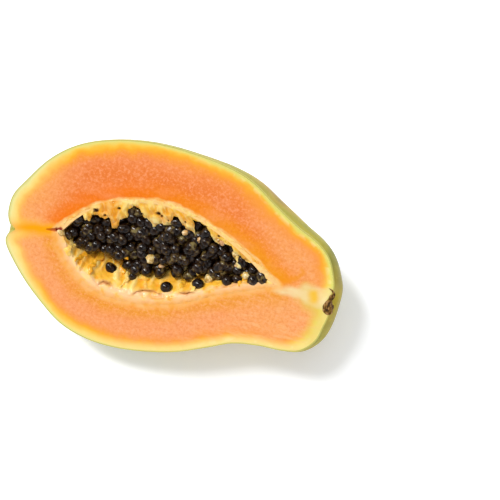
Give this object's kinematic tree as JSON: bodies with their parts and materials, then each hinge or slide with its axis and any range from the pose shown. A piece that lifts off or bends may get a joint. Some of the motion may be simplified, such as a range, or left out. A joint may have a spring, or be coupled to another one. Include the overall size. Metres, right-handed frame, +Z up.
{
  "type": "papaya half",
  "caption": "Ripe papaya half lying cut face up: thick flesh with its skin, a seed cavity lined with pith, a heap of dark seeds and a dried stalk stump.",
  "frame": {"origin": "on the resting surface, under the middle of the half's bounding box", "axes": "+X along the fruit from the blossom end to the stem end, -Y the side that the cut face leans towards, +Z up"},
  "size_m": [0.1846, 0.1094, 0.0708],
  "materials": {
    "flesh": "satin",
    "skin": "satin",
    "pith": "satin",
    "seed": "gloss",
    "pale_seed": "satin",
    "stump": "matte"
  },
  "bodies": {
    "root": {"fruit": "flesh", "pith": "pith", "seed_heap": "seed", "lone_seed_1": "seed", "lone_seed_2": "seed", "pale_seed_1": "pale_seed", "pale_seed_2": "pale_seed", "pale_seed_3": "pale_seed", "pale_seed_4": "pale_seed", "stalk_stump": "stump"}
  },
  "joints": []
}
